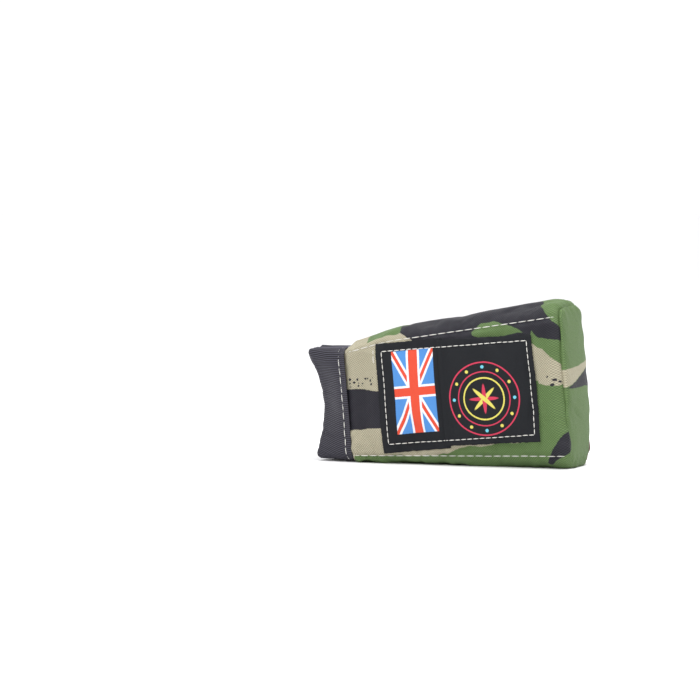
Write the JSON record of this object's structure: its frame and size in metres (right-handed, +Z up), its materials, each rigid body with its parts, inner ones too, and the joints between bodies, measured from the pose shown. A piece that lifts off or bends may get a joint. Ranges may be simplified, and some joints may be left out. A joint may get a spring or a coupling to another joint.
{
  "type": "padded drawcord cover",
  "caption": "Padded, tapered fabric cover with a closed padded end, a taped mouth gathered by an elastic drawcord, and sewn labels.",
  "frame": {"origin": "on the surface that the cover lies on, under the middle of its box, without the free cord", "axes": "+X from the mouth to the closed end, +Y from the labelled front face to the back, +Z up"},
  "size_m": [0.1296, 0.0775, 0.0746],
  "materials": {
    "printed_fabric": "plain-weave nylon with a woodland print",
    "foam": "soft closed-cell foam sheet",
    "lining_fabric": "smooth black lining cloth",
    "binding_tape": "ribbed black grosgrain",
    "elastic_cord": "braided black elastic cord",
    "light_thread": "matt sewing thread",
    "woven_label": "woven label"
  },
  "bodies": {
    "cover_body": {"outer_wrap": "printed_fabric", "end_panel": "printed_fabric", "front_pad": "foam", "back_pad": "foam", "upper_pad": "foam", "lower_pad": "foam", "end_pad": "foam", "lining_wrap": "lining_fabric", "lining_end": "lining_fabric", "mouth_tape": "binding_tape", "drawcord": "elastic_cord", "front_edge_stitching": "light_thread", "back_edge_stitching": "light_thread", "mouth_stitching": "light_thread", "flag_label": "woven_label", "emblem_label": "woven_label", "label_stitching": "light_thread"},
    "drawcord_legs": {"upper_drawcord_leg": "elastic_cord", "lower_drawcord_leg": "elastic_cord"},
    "drawcord_end": {"drawcord_knot": "elastic_cord", "left_drawcord_tail": "elastic_cord", "right_drawcord_tail": "elastic_cord"}
  },
  "joints": [
    {"name": "drawcord_swing", "type": "hinge", "parent": "cover_body", "child": "drawcord_legs", "pos_m": [-0.0593, 0.0174, 0.0265], "axis": [0, 0, 1], "range_deg": [-15, 40]},
    {"name": "drawcord_pull", "type": "slide", "parent": "drawcord_legs", "child": "drawcord_end", "axis": [0.9187, 0.395, 0], "range_m": [0, 0.02], "stiffness_N_per_m": 60}
  ]
}
